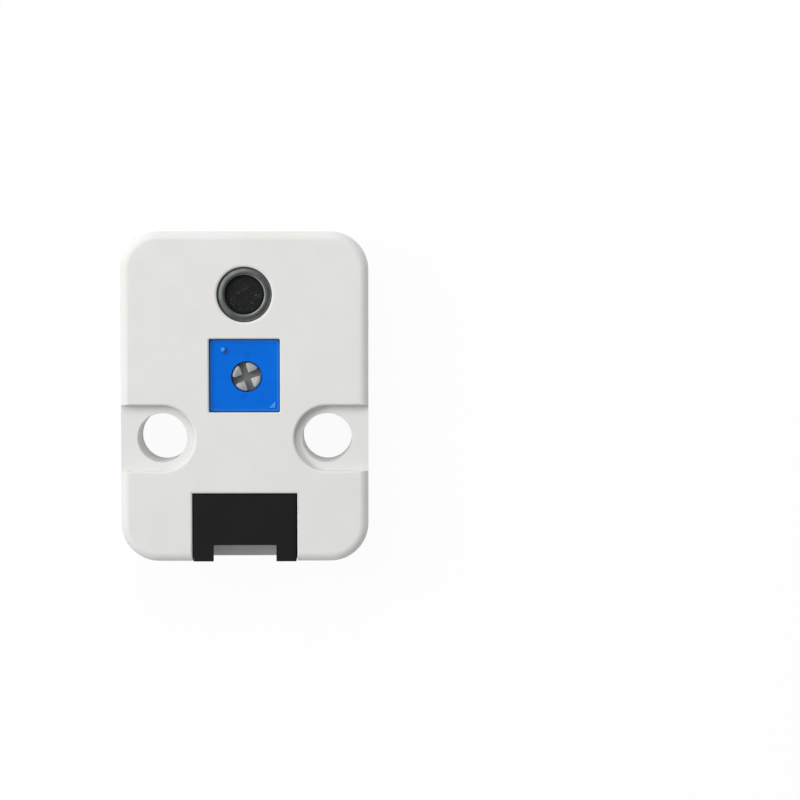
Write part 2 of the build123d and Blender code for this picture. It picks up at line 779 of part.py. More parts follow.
# Socket housing: a box with an open mouth and a lead-in for the plug, a notched top wall, a
# lower wall set back between the legs and square holes for the pins
cavity_width = socket_width - 2 * socket_side_wall
cavity_height = socket_top - socket_top_wall - board_top - socket_bottom_wall
with BuildPart() as connector_housing:
    with BuildSketch(Plane.XY.offset(board_top)):
        with Locations((0, socket_mouth)):
            Rectangle(socket_width, socket_length, align=(Align.CENTER, Align.MIN))
    extrude(amount=socket_top - board_top)
    chamfer(connector_housing.faces().sort_by(Axis.Z)[-1].edges(), socket_bevel)
    with BuildSketch(Plane.XZ.offset(-socket_mouth)):
        with Locations((0, pin_level)):
            Rectangle(cavity_width, cavity_height)
    extrude(amount=socket_rear_wall - socket_length, mode=Mode.SUBTRACT)
    with BuildSketch(Plane.XZ.offset(-socket_mouth)):
        with Locations((0, pin_level)):
            Rectangle(cavity_width + 2 * socket_lead_in, cavity_height + 2 * socket_lead_in)
    extrude(amount=-socket_lead_in, taper=bevel_angle, mode=Mode.SUBTRACT)
    with BuildSketch(Plane.XY.offset(socket_top - socket_top_wall)):
        with Locations((0, socket_mouth)):
            Rectangle(
                socket_notch_width,
                socket_notch_depth,
                align=(Align.CENTER, Align.MIN),
            )
    extrude(amount=socket_top_wall, mode=Mode.SUBTRACT)
    with BuildSketch(Plane.XY.offset(board_top)):
        with Locations((0, socket_mouth)):
            Rectangle(cavity_width, socket_notch_depth, align=(Align.CENTER, Align.MIN))
    extrude(amount=socket_bottom_wall, mode=Mode.SUBTRACT)
    with BuildSketch(Plane.XZ.offset(-socket_back)):
        with Locations(*[(x, pin_level) for x in pin_rows]):
            Rectangle(pin_size + 2 * pin_hole_gap, pin_size + 2 * pin_hole_gap)
    extrude(amount=socket_rear_wall, mode=Mode.SUBTRACT)
connector_housing.part.label = "connector_housing"
export_step(connector_housing.part, "parts/connector_housing.step")

# Four square pins, bent down behind the socket to feet on the board
pin_back = socket_back + pin_drop
with BuildPart() as connector_pins:
    for x in pin_rows:
        with BuildSketch(Plane.YZ.offset(x)):
            with BuildLine():
                FilletPolyline(
                    (socket_mouth + pin_setback, pin_level),
                    (pin_back, pin_level),
                    (pin_back, board_top + pin_size / 2),
                    (pin_back + pin_foot, board_top + pin_size / 2),
                    radius=pin_bend,
                )
            trace(line_width=pin_size)
        extrude(amount=pin_size / 2, both=True)
connector_pins.part.label = "connector_pins"
export_step(connector_pins.part, "parts/connector_pins.step")

# Two solder tabs that hold the socket's sides to the board
with BuildPart() as connector_solder_tabs:
    with BuildSketch(Plane.XZ.offset(-(socket_mouth + tab_from_mouth))):
        with Locations((socket_width / 2, board_top)):
            Rectangle(tab_thickness, tab_height, align=(Align.MIN, Align.MIN))
            Rectangle(tab_foot, tab_thickness, align=(Align.MIN, Align.MIN))
    extrude(amount=-tab_length)
    mirror(about=Plane.YZ)
connector_solder_tabs.part.label = "connector_solder_tabs"
export_step(connector_solder_tabs.part, "parts/connector_solder_tabs.step")

# Comparator body with moulding draft above and below its leads and a dot at its first lead
comparator_level = board_top + comparator_standoff + comparator_height / 2
with BuildPart() as comparator_body:
    with BuildSketch(Plane.XY.offset(comparator_level)):
        with Locations((comparator_x, comparator_y)):
            Rectangle(comparator_length, comparator_width)
    extrude(amount=comparator_height / 2, both=True, taper=comparator_draft)
    with BuildSketch(Plane.XY.offset(comparator_level + comparator_height / 2)):
        with Locations(
            (
                comparator_x - comparator_length / 2 + comparator_dot_from_edge,
                comparator_y - comparator_width / 2 + comparator_dot_from_edge,
            )
        ):
            Circle(comparator_dot_radius)
    extrude(amount=-comparator_dot_depth, mode=Mode.SUBTRACT)
comparator_body.part.label = "comparator_body"
export_step(comparator_body.part, "parts/comparator_body.step")

# Gull-wing leads of the comparator
lead_foot_level = board_top + comparator_lead_thickness / 2
with BuildPart() as comparator_leads:
    for i in range(comparator_leads_per_side):
        offset_x = comparator_lead_pitch * (i - (comparator_leads_per_side - 1) / 2)
        for side in (-1, 1):
            with BuildSketch(Plane.YZ.offset(comparator_x + offset_x)):
                with BuildLine():
                    Polyline(
                        (comparator_y + side * comparator_width / 2, comparator_level),
                        (comparator_y + side * lead_knee, comparator_level),
                        (comparator_y + side * lead_ankle, lead_foot_level),
                        (comparator_y + side * comparator_span / 2, lead_foot_level),
                    )
                trace(line_width=comparator_lead_thickness)
            extrude(amount=comparator_lead_width / 2, both=True)
comparator_leads.part.label = "comparator_leads"
export_step(comparator_leads.part, "parts/comparator_leads.step")

# Chip resistors: ceramic bodies between their end terminals
with BuildPart() as chip_resistors:
    with BuildSketch(Plane.XY.offset(board_top)):
        with Locations(resistor_centre):
            with GridLocations(
                resistor_column_pitch, resistor_row_pitch, resistor_columns, resistor_rows
            ):
                Rectangle(chip_length - 2 * chip_terminal, chip_width)
    extrude(amount=resistor_height)
chip_resistors.part.label = "chip_resistors"
export_step(chip_resistors.part, "parts/chip_resistors.step")

with BuildPart() as chip_resistor_terminals:
    with BuildSketch(Plane.XY.offset(board_top)):
        with Locations(resistor_centre):
            with GridLocations(
                resistor_column_pitch, resistor_row_pitch, resistor_columns, resistor_rows
            ):
                with GridLocations(chip_length - chip_terminal, 0, 2, 1):
                    Rectangle(chip_terminal, chip_width)
    extrude(amount=resistor_height)
chip_resistor_terminals.part.label = "chip_resistor_terminals"
export_step(chip_resistor_terminals.part, "parts/chip_resistor_terminals.step")

# Chip capacitors, turned along the module
with BuildPart() as chip_capacitors:
    with BuildSketch(Plane.XY.offset(board_top)):
        with Locations((-capacitor_x, capacitor_y), (capacitor_x, capacitor_y)):
            Rectangle(chip_width, chip_length - 2 * chip_terminal)
    extrude(amount=capacitor_height)
chip_capacitors.part.label = "chip_capacitors"
export_step(chip_capacitors.part, "parts/chip_capacitors.step")

with BuildPart() as chip_capacitor_terminals:
    with BuildSketch(Plane.XY.offset(board_top)):
        with Locations((-capacitor_x, capacitor_y), (capacitor_x, capacitor_y)):
            with GridLocations(0, chip_length - chip_terminal, 1, 2):
                Rectangle(chip_width, chip_terminal)
    extrude(amount=capacitor_height)
chip_capacitor_terminals.part.label = "chip_capacitor_terminals"
export_step(chip_capacitor_terminals.part, "parts/chip_capacitor_terminals.step")
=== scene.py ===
import math
import random

import bpy
from mathutils import Matrix, Vector, noise


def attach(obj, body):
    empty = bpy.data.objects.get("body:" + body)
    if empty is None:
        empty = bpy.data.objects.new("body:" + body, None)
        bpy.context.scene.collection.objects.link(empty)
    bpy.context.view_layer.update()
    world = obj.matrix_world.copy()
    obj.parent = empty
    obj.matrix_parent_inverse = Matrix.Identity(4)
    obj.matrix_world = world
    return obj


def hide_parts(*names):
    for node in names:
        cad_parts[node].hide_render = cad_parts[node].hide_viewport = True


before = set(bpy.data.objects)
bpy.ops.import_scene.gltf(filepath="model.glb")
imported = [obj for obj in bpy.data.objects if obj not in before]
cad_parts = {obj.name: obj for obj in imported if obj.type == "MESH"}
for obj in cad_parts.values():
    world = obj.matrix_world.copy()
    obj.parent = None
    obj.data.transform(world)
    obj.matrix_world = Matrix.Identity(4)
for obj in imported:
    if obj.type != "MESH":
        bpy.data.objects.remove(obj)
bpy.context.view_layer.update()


# Back shell: the lower half of the case, moulded in white ABS with a fine satin grain. It
# holds the board on its ledges and snaps round the tongue of the front shell. Its rims come
# off the mould slightly rounded, so the two halves meet in a fine groove.
mm = 0.001
case_colour = (229, 229, 227)
case_shade = (226, 225, 222)
case_corner = 3.7 * mm
corner_centre = Vector((8.3, 12.3)) * mm
parting = 4.0 * mm
parting_edge = 0.12 * mm
face_above_parting = 4.0 * mm
face_corner = 2.8 * mm
face_rim_edge = 0.12 * mm
window_side = 3.7 * mm
window_foot = -1.8 * mm
window_head = 5.9 * mm
pin_hole = Vector((8.0, -4.0)) * mm
pin_hole_radius = 2.4 * mm
pin_hole_edge = 0.06 * mm
pocket_floor_above_parting = 3.1 * mm
height_slack = 0.002 * mm
radius_slack = 0.02 * mm
border_slack = 0.05 * mm
weld_distance = 0.0005 * mm
flat_angle = math.radians(0.3)
sharp_angle = math.radians(25)
edge_angle = math.radians(30)
smooth_angle = math.radians(40)
rim_segments = 4
edge_segments = 3


def tone(colour):
    """Gives the linear value of a colour that is written from 0 to 255."""
    parts = [part / 255 for part in colour]
    return [((p + 0.055) / 1.055) ** 2.4 if p > 0.04045 else p / 12.92 for p in parts] + [1]


class Wire:
    """A socket in a material's nodes, so that shader maths reads as Python expressions."""

    def __init__(self, tree, socket):
        self.tree = tree
        self.socket = socket

    def node(self, kind, values, output=0, **settings):
        """Adds a node of that kind with its settings first, then its sockets' values or links."""
        made = self.tree.nodes.new("ShaderNode" + kind)
        for name, value in settings.items():
            setattr(made, name, value)
        for key, value in values.items():
            self.feed(made.inputs[key], value)
        return Wire(self.tree, made.outputs[output])

    def other(self, output):
        """Gives another output of the node that this wire comes from."""
        return Wire(self.tree, self.socket.node.outputs[output])

    def feed(self, socket, value):
        """Links a wire to a socket, or writes a plain value into it."""
        if isinstance(value, Wire):
            self.tree.links.new(value.socket, socket)
        else:
            socket.default_value = value

    def maths(self, operation, *values):
        """Adds a Math node that works on the values, each a wire or a plain number."""
        return self.node("Math", dict(enumerate(values)), operation=operation)

    def __add__(self, other):
        return self.maths("ADD", self, other)

    def __radd__(self, other):
        return self.maths("ADD", other, self)

    def __sub__(self, other):
        return self.maths("SUBTRACT", self, other)

    def __rsub__(self, other):
        return self.maths("SUBTRACT", other, self)

    def __mul__(self, other):
        return self.maths("MULTIPLY", self, other)

    def __rmul__(self, other):
        return self.maths("MULTIPLY", other, self)

    def __pow__(self, other):
        return self.maths("POWER", self, other)

    def noise(self, size, detail=2, roughness=0.5, stretch=(1, 1, 1)):
        """Gives a cloudy pattern from 0 to 1 whose clouds are about size metres across."""
        place = self.node("Mapping", {"Vector": self, "Scale": stretch})
        values = {0: place, "Scale": 1 / size, "Detail": detail, "Roughness": roughness}
        return place.node("TexNoise", values)

    def between(self, low, high):
        """Spreads the part of this value from low to high over 0 to 1."""
        return self.node("MapRange", {"Value": self, "From Min": low, "From Max": high})

    def blend(self, first, second):
        """Mixes two colours, the first where this value is 0."""
        return self.node("Mix", {0: self, 6: first, 7: second}, output=2, data_type="RGBA")

    def relief(self, height, normal=None):
        """Gives the normal of a surface on which a value of 1 stands height metres proud."""
        values = {"Height": self, "Distance": height}
        if normal:
            values["Normal"] = normal
        return self.node("Bump", values)


class Finish:
    """A material for one kind of surface, read from the object's own coordinates."""

    def __init__(self, name):
        self.material = bpy.data.materials.new(name)
        self.material.use_nodes = True
        tree = self.material.node_tree
        self.shader = tree.nodes["Principled BSDF"]
        self.place = Wire(tree, tree.nodes.new("ShaderNodeTexCoord").outputs["Object"])

    def set(self, **values):
        """Sets the shader's sockets, named with underscores, to wires or plain values."""
        for name, value in values.items():
            self.place.feed(self.shader.inputs[name.replace("_", " ")], value)

    def cover(self, *pieces):
        """Gives the pieces this material alone."""
        for piece in pieces:
            piece.data.materials.clear()
            piece.data.materials.append(self.material)


def satin_plastic(name, colour, shade, roughness, grain=0.16 * mm, depth=0.006 * mm, sheen=0.5):
    """Makes moulded plastic with a spark-eroded grain and faint clouds in its colour."""
    finish = Finish(name)
    clouds = finish.place.noise(3.5 * mm, detail=3)
    pores = finish.place.noise(grain, detail=3, roughness=0.6)
    finish.set(
        Base_Color=clouds.between(0.3, 0.75).blend(tone(colour), tone(shade)),
        Roughness=roughness + 0.1 * pores,
        Normal=pores.relief(depth),
        Specular_IOR_Level=sheen,
    )
    return finish


def dressed(node, edge=0.0, body="housing", cutter=None, rims=()):
    """Copies a CAD node, joins its triangles into clean faces and finishes its edges.

    A cutter is cut out of the copy first. Next each rim, which is the sharp edges whose ends
    pass its test, is rounded by its own width, and then all sharp edges by edge metres.
    """
    bpy.ops.object.select_all(action="DESELECT")
    piece = bpy.data.objects.new(node + "_moulding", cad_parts[node].data.copy())
    bpy.context.collection.objects.link(piece)
    bpy.context.view_layer.objects.active = piece
    piece.select_set(True)
    bpy.ops.mesh.customdata_custom_splitnormals_clear()
    bpy.ops.object.mode_set(mode="EDIT")
    bpy.ops.mesh.select_all(action="SELECT")
    bpy.ops.mesh.remove_doubles(threshold=weld_distance)
    bpy.ops.mesh.dissolve_limited(angle_limit=flat_angle)
    bpy.ops.object.mode_set(mode="OBJECT")
    if cutter:
        cut = piece.modifiers.new("cut", "BOOLEAN")
        cut.operation = "DIFFERENCE"
        cut.solver = "EXACT"
        cut.object = cutter
        bpy.ops.object.modifier_apply(modifier=cut.name)
        bpy.data.objects.remove(cutter)
    for on_rim, width in rims:
        bpy.ops.object.mode_set(mode="EDIT")
        bpy.ops.mesh.select_mode(type="EDGE")
        bpy.ops.mesh.select_all(action="DESELECT")
        bpy.ops.mesh.edges_select_sharp(sharpness=sharp_angle)
        bpy.ops.object.mode_set(mode="OBJECT")
        sharp = [line for line in piece.data.edges if line.select]
        points = piece.data.vertices
        points.foreach_set("select", [False] * len(points))
        piece.data.polygons.foreach_set("select", [False] * len(piece.data.polygons))
        for line in sharp:
            line.select = on_rim([points[end].co for end in line.vertices])
        bpy.ops.object.mode_set(mode="EDIT")
        bpy.ops.mesh.bevel(
            offset=width,
            segments=rim_segments,
            affect="EDGES",
            clamp_overlap=False,
            loop_slide=False,
        )
        bpy.ops.object.mode_set(mode="OBJECT")
    if edge:
        rounding = piece.modifiers.new("edge rounding", "BEVEL")
        rounding.width = edge
        rounding.segments = edge_segments
        rounding.limit_method = "ANGLE"
        rounding.angle_limit = edge_angle
        rounding.use_clamp_overlap = False
        bpy.ops.object.modifier_apply(modifier=rounding.name)
    bpy.ops.object.shade_smooth_by_angle(angle=smooth_angle)
    flats = piece.modifiers.new("true flats", "WEIGHTED_NORMAL")
    flats.weight = 100
    flats.keep_sharp = True
    bpy.ops.object.modifier_apply(modifier=flats.name)
    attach(piece, body)
    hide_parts(node)
    return piece


def past_corner(point):
    """Gives how far a point lies outside the rectangle between the corners' centres."""
    past_side = max(abs(point.x) - corner_centre.x, 0)
    past_end = max(abs(point.y) - corner_centre.y, 0)
    return Vector((past_side, past_end)).length


def all_at(ends, above_parting):
    """Tells ends that all lie that far above or below the height where the halves meet."""
    return all(abs(abs(end.z - parting) - above_parting) < height_slack for end in ends)


def on_parting(ends):
    """Tells an edge of the case's outer wall where its halves meet."""
    on_wall = all(abs(past_corner(end) - case_corner) < radius_slack for end in ends)
    return all_at(ends, 0) and on_wall


def on_face_rim(ends):
    """Tells an edge of a pocket, the round hole or the socket's cut-out in the face or back.

    The trimmer's window is left out, because its corners are too tight for the rounding.
    """
    off_border = any(past_corner(end) < face_corner - border_slack for end in ends)
    at_window = all(
        abs(end.x) < window_side and window_foot < end.y < window_head for end in ends
    )
    return all_at(ends, face_above_parting) and off_border and not at_window


def on_pin_hole(ends):
    """Tells an edge of a pin hole's rim, at the floor of its pocket."""
    reaches = [(Vector((abs(end.x), end.y)) - pin_hole).length for end in ends]
    on_rim = all(abs(reach - pin_hole_radius) < radius_slack for reach in reaches)
    return all_at(ends, pocket_floor_above_parting) and on_rim


case_rims = [
    (on_parting, parting_edge),
    (on_face_rim, face_rim_edge),
    (on_pin_hole, pin_hole_edge),
]
white_abs = satin_plastic("white_abs", case_colour, case_shade, roughness=0.42)
back_shell = dressed("back_shell", rims=case_rims)
white_abs.cover(back_shell)


# Circuit board: a glass laminate with green solder mask, waisted between the bosses.
# It rests on the back shell's ledges and carries everything else.
laminate = Finish("solder_mask")
weave = laminate.place.noise(0.35 * mm, detail=2, stretch=(1, 3, 1))
laminate.set(
    Base_Color=weave.between(0.3, 0.7).blend(tone((14, 70, 38)), tone((22, 92, 52))),
    Roughness=0.3 + 0.12 * weave,
    Normal=weave.relief(0.01 * mm),
)
laminate.cover(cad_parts["circuit_board"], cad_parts["microphone_board"])


# Solder: it holds the leads of the microphone, the trimmer and the socket in the board's
# drilled holes. Its bright cones carry the faint frosting of a joint that has cooled.
solder = Finish("solder")
frost = solder.place.noise(0.12 * mm, detail=4)
solder.set(
    Base_Color=frost.blend(tone((176, 178, 180)), tone((212, 213, 214))),
    Metallic=1.0,
    Roughness=0.22 + 0.25 * frost,
    Normal=frost.relief(0.01 * mm),
)
solder.cover(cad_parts["solder_joints"])


# Chips: a comparator in black epoxy with tinned gull-wing leads, thick-film resistors and
# ceramic capacitors, all soldered flat on the board.
epoxy = satin_plastic(
    "moulded_epoxy", (26, 26, 28), (34, 34, 35), roughness=0.5, grain=0.08 * mm
)
epoxy.cover(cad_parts["comparator_body"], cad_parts["microphone_transistor"])
ceramic = satin_plastic(
    "fired_ceramic", (206, 203, 192), (188, 184, 172), roughness=0.55, grain=0.1 * mm
)
ceramic.cover(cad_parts["chip_resistors"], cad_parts["trimmer_element"])
capacitor = satin_plastic(
    "capacitor_ceramic", (158, 128, 92), (134, 106, 74), roughness=0.4, grain=0.1 * mm
)
capacitor.cover(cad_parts["chip_capacitors"])


def plated_metal(name, colour, shade, roughness, grain=0.05 * mm):
    """Makes plated metal with fine drawing lines, worn a little duller in patches."""
    finish = Finish(name)
    lines = finish.place.noise(grain, detail=3, stretch=(0.12, 1, 1))
    patches = finish.place.noise(0.8 * mm, detail=3)
    finish.set(
        Base_Color=patches.between(0.35, 0.7).blend(tone(colour), tone(shade)),
        Metallic=1.0,
        Roughness=roughness + 0.12 * lines + 0.08 * patches,
        Normal=lines.relief(0.002 * mm),
    )
    return finish


tinned = plated_metal("tinned_leads", (196, 196, 192), (176, 176, 173), roughness=0.28)
tinned.cover(
    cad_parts["comparator_leads"],
    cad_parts["chip_resistor_terminals"],
    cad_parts["chip_capacitor_terminals"],
    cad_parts["connector_solder_tabs"],
    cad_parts["microphone_leads"],
    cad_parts["trimmer_pins"],
)


# Socket: a black PBT housing that takes a four-way plug from the end of the case, with a
# notch in its upper wall for the plug's latch. Its four square pins are plated.
socket_edge = 0.05 * mm
pin_edge = 0.06 * mm
socket_black = satin_plastic(
    "socket_black", (26, 26, 26), (29, 29, 29), roughness=0.55, grain=0.2 * mm, sheen=0.2
)
connector_housing = dressed("connector_housing", edge=socket_edge)
socket_black.cover(connector_housing)
gold = plated_metal("gold_plate", (214, 176, 96), (196, 156, 80), roughness=0.24)
connector_pins = dressed("connector_pins", edge=pin_edge)
gold.cover(connector_pins)


# Microphone inside: a metallised film on its ring, a spacer washer, the charged backplate,
# a nylon holder and a contact ring, stacked on a small round board by the can's crimp.
brass = plated_metal(
    "stamped_brass", (198, 158, 86), (178, 140, 72), roughness=0.3, grain=0.08 * mm
)
brass.cover(
    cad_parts["microphone_diaphragm"],
    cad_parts["microphone_backplate"],
    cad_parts["microphone_contact_ring"],
)
film = satin_plastic(
    "spacer_film",
    (190, 182, 150),
    (178, 168, 134),
    roughness=0.2,
    grain=0.3 * mm,
    depth=0.001 * mm,
)
film.cover(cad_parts["microphone_spacer"])
nylon = satin_plastic(
    "natural_nylon", (212, 210, 198), (202, 199, 186), roughness=0.45, grain=0.12 * mm
)
nylon.cover(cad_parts["microphone_holder"])


# Microphone can: drawn from thin aluminium sheet, with a rolled crest round its dish, a small
# sound hole and its lower edge crimped under the board. The press leaves fine turning lines.
# Its profile goes once round the sheet's section, as radius and height in millimetres.
microphone_x = 0.0
microphone_y = 9.9 * mm
microphone_axis = (microphone_x, microphone_y)
can_smooth_angle = math.radians(35)
can_profile = [
    (2.350, 2.600),
    (2.750, 2.600),
    (2.900, 2.640),
    (2.975, 2.720),
    (3.000, 2.850),
    (3.000, 3.000),
    (2.985, 3.040),
    (2.985, 3.140),
    (3.000, 3.180),
    (3.000, 6.760),
    (2.992, 6.960),
    (2.965, 7.120),
    (2.915, 7.240),
    (2.840, 7.325),
    (2.740, 7.385),
    (2.620, 7.430),
    (2.480, 7.465),
    (2.340, 7.488),
    (2.200, 7.500),
    (2.020, 7.500),
    (1.960, 7.486),
    (1.915, 7.450),
    (1.890, 7.395),
    (1.880, 7.320),
    (1.880, 6.900),
    (1.862, 6.862),
    (1.820, 6.850),
    (0.430, 6.850),
    (0.400, 6.820),
    (0.400, 6.650),
    (2.080, 6.650),
    (2.080, 7.230),
    (2.200, 7.300),
    (2.450, 7.230),
    (2.680, 7.000),
    (2.800, 6.650),
    (2.800, 2.850),
    (2.750, 2.800),
    (2.350, 2.800),
]


def draw_out(step, grow, middle):
    """Extrudes what is selected by a step and resizes its new end about a middle."""
    bpy.ops.mesh.extrude_region_move(TRANSFORM_OT_translate={"value": step})
    bpy.ops.transform.resize(value=grow, center_override=middle)


def close_up():
    """Turns all faces outward, ends the editing and applies the piece's own placement."""
    bpy.ops.mesh.select_all(action="SELECT")
    bpy.ops.mesh.normals_make_consistent(inside=False)
    bpy.ops.object.mode_set(mode="OBJECT")
    bpy.ops.object.transform_apply(location=True, rotation=True, scale=True)


def turned(name, profile, sides, closed):
    """Lathes a piece about the microphone's axis.

    A circle is drawn out and in along the profile's radii and heights in millimetres, and
    back to the first of them where the profile is closed.
    """
    bpy.ops.object.select_all(action="DESELECT")
    radius, height = profile[0]
    bpy.ops.mesh.primitive_circle_add(
        vertices=sides,
        radius=radius * mm,
        location=(*microphone_axis, height * mm),
        fill_type="NOTHING",
    )
    piece = bpy.context.object
    piece.name = name
    bpy.ops.object.mode_set(mode="EDIT")
    bpy.ops.mesh.select_all(action="SELECT")
    way_back = profile[:1] if closed else []
    for next_radius, next_height in profile[1:] + way_back:
        rise = (next_height - height) * mm
        grow = next_radius / radius
        draw_out((0, 0, rise), (grow, grow, 1), (*microphone_axis, next_height * mm))
        radius, height = next_radius, next_height
    bpy.ops.mesh.select_all(action="SELECT")
    bpy.ops.mesh.remove_doubles(threshold=weld_distance)
    close_up()
    bpy.ops.object.shade_smooth_by_angle(angle=can_smooth_angle)
    return piece


microphone_can = turned("microphone_can_drawn", can_profile, sides=128, closed=True)
drawn = Finish("drawn_aluminium")
to_axis = {"Vector": drawn.place, "Location": (-microphone_x, -microphone_y, 0)}
can_place = drawn.place.node("Mapping", to_axis)
beside = can_place.node("SeparateXYZ", {"Vector": can_place})
ahead = beside.other("Y")
from_axis = (beside * beside + ahead * ahead) ** 0.5
round_place = beside.node("CombineXYZ", {"X": from_axis, "Y": 0.0, "Z": beside.other("Z")})
lines = round_place.noise(0.03 * mm, detail=3, roughness=0.6)
stains = drawn.place.noise(0.9 * mm, detail=4)
drawn.set(
    Base_Color=stains.between(0.3, 0.7).blend(tone((165, 171, 168)), tone((141, 145, 142))),
    Metallic=1.0,
    Roughness=0.24 + 0.12 * lines + 0.08 * stains,
    Normal=lines.relief(0.0035 * mm),
)
drawn.cover(microphone_can)
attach(microphone_can, "housing")
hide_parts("microphone_can")


# Felt: a disc punched from black needle felt and glued into the can's dish, where it keeps
# dust out. Its face is napped, and loose fibres lie on it and stand up from it.
felt_radius = 1.85
felt_rim_radius = 1.78
felt_profile = [
    (1.790, 6.850),
    (1.835, 6.862),
    (1.850, 6.900),
    (1.850, 6.975),
    (1.835, 7.020),
    (1.800, 7.052),
]
felt_steps = 22
felt_nap = 7.05
felt_edge = 7.065
felt_crown = 7.09
for step in range(1, felt_steps):
    share = 1 - step / felt_steps
    height = felt_edge + (felt_crown - felt_edge) * (1 - share**2)
    felt_profile.append((felt_rim_radius * share, height))
felt = turned("microphone_felt_disc", felt_profile, sides=160, closed=False)
bpy.ops.object.mode_set(mode="EDIT")
bpy.ops.mesh.select_all(action="DESELECT")
bpy.ops.mesh.select_non_manifold()
bpy.ops.mesh.edge_face_add()
close_up()
nap_size = 0.11 * mm
nap_height = 0.03 * mm
nap_foot = 7.0 * mm
tuft_fading = 0.6
tuft_fineness = 2.1
tuft_layers = 4
for point in felt.data.vertices:
    if point.co.z > nap_foot:
        tuft = noise.fractal(point.co / nap_size, tuft_fading, tuft_fineness, tuft_layers)
        point.co.z += nap_height * (max(-1.0, min(1.0, tuft)) - 1) / 2
nap = Finish("needle_felt")
tufts = nap.place.noise(0.12 * mm, detail=5, roughness=0.7)
strands = nap.place.noise(0.03 * mm, detail=3, roughness=0.7, stretch=(1, 0.35, 1))
height_on_nap = (0.5 * tufts + 0.5 * strands).between(0.3, 0.72)
nap.set(
    Base_Color=height_on_nap.blend(tone((26, 27, 26)), tone((44, 46, 44))),
    Roughness=0.95,
    Normal=strands.relief(0.012 * mm, normal=tufts.relief(0.03 * mm)),
    Specular_IOR_Level=0.12,
)
nap.cover(felt)
fibre_count = 130
fibre_chance = random.Random(7)
fibre_thickness = 0.011 * mm
fibre_swell = 2.0
fibre_taper = 0.6
fibre_length = 0.3 * mm
fibre_joints = 4
fibre_pace = fibre_length / fibre_joints
fibre_reach = felt_radius * 0.9 * mm
fibre_curl = 0.35
fibre_hump = (0.02, 0.1)
fibre_stretch = (0.5, 1.5)
fibre_smooth_angle = math.radians(60)
bpy.ops.object.select_all(action="DESELECT")
bpy.ops.mesh.primitive_circle_add(
    vertices=4, radius=fibre_thickness / 2, fill_type="NGON", rotation=(0, math.pi / 2, 0)
)
fibre = bpy.context.object
bpy.ops.object.mode_set(mode="EDIT")
bpy.ops.mesh.select_all(action="SELECT")
for joint in range(fibre_joints):
    end = fibre_length * (joint + 1) / fibre_joints
    grow = fibre_swell if joint < fibre_joints / 2 else fibre_taper
    draw_out((fibre_pace, 0, 0), (1, grow, grow), (end, 0, 0))
close_up()
strewn = []
for _ in range(fibre_count):
    reach = fibre_reach * fibre_chance.random() ** 0.5
    around = fibre_chance.uniform(0, 2 * math.pi)
    heading = around + fibre_chance.uniform(0.5, 1.5) * math.pi
    curl = fibre_chance.uniform(-1, 1) * fibre_curl / fibre_length
    hump = fibre_chance.uniform(*fibre_hump)
    stretch = fibre_chance.uniform(*fibre_stretch)
    hair_mesh = fibre.data.copy()
    for point in hair_mesh.vertices:
        share = point.co.x / fibre_length
        point.co.x *= stretch
        point.co.y += curl * point.co.x * (point.co.x - fibre_length * stretch)
        point.co.z += hump * fibre_length * math.sin(math.pi * share)
    hair_x = microphone_x + reach * math.cos(around)
    hair_y = microphone_y + reach * math.sin(around)
    place = Matrix.Translation((hair_x, hair_y, felt_nap * mm))
    hair_mesh.transform(place @ Matrix.Rotation(heading, 4, "Z"))
    hair = bpy.data.objects.new("fibre", hair_mesh)
    bpy.context.collection.objects.link(hair)
    strewn.append(hair)
bpy.data.objects.remove(fibre)


def joined(pieces):
    """Joins the pieces into the first of them."""
    bpy.ops.object.select_all(action="DESELECT")
    for piece in pieces:
        piece.select_set(True)
    bpy.context.view_layer.objects.active = pieces[0]
    bpy.ops.object.join()
    return pieces[0]


fibres = joined(strewn)
fibres.name = "microphone_felt_fibres"
bpy.ops.object.shade_smooth_by_angle(angle=fibre_smooth_angle)
wool = Finish("felt_fibre")
tints = wool.place.noise(0.4 * mm, detail=1)
wool.set(
    Base_Color=tints.between(0.52, 0.66).blend(tone((38, 39, 38)), tone((128, 130, 126))),
    Roughness=0.8,
    Specular_IOR_Level=0.2,
)
wool.cover(fibres)
for piece in (felt, fibres):
    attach(piece, "housing")
    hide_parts("microphone_felt")


# Trimmer: a blue moulded housing closed by a base, over a ceramic track and a sprung wiper.
# A silicone ring seals the nickel-plated rotor, whose cross slot takes a screwdriver and
# is coloured darker towards its floor as painted shade. The housing's edges and raised
# marks are coloured lighter as a painted highlight, and a painted shadow lies beside its
# raised dot.
trimmer_face = 7.5 * mm
trimmer_middle = 2.05 * mm
trimmer_half_width = 3.35 * mm
trimmer_half_length = 3.475 * mm
below_marks = trimmer_face + 0.0595 * mm
facing_up = 0.99
mark_steps = [(0.02 * mm, 0.07 * mm), (0.03 * mm, 0.02 * mm), (0.04 * mm, 0.008 * mm)]
# The lighter colour on the housing's edges and raised marks is a painted highlight.
edge_highlight_wander = 0.05 * mm
edge_highlight_share = 0.6
# Painted shadow: a dark patch beside the raised dot, below and to its right, where its shadow
# falls.
painted_shadow_x = -1.78 * mm
painted_shadow_y = 2.35 * mm
painted_shadow_radius = 0.38 * mm
painted_shadow_wander = 0.3 * mm
painted_shadow_squeeze = 0.75
painted_shadow_share = 0.8
blue = Finish("trimmer_blue")
flow = blue.place.noise(1.4 * mm, detail=4)
haze = blue.place.noise(0.25 * mm, detail=3)
to_middle = {"Vector": blue.place, "Location": (0, -trimmer_middle, 0)}
from_middle = blue.place.node("Mapping", to_middle)
across = blue.place.node("SeparateXYZ", {"Vector": from_middle})
proud = across.other("Z")
to_side = across.maths("ABSOLUTE", across) - trimmer_half_width
to_end = across.maths("ABSOLUTE", across.other("Y")) - trimmer_half_length
to_edge = across.maths("MAXIMUM", to_side, to_end)
near_face = proud.between(trimmer_face - 0.4 * mm, trimmer_face - 0.1 * mm)
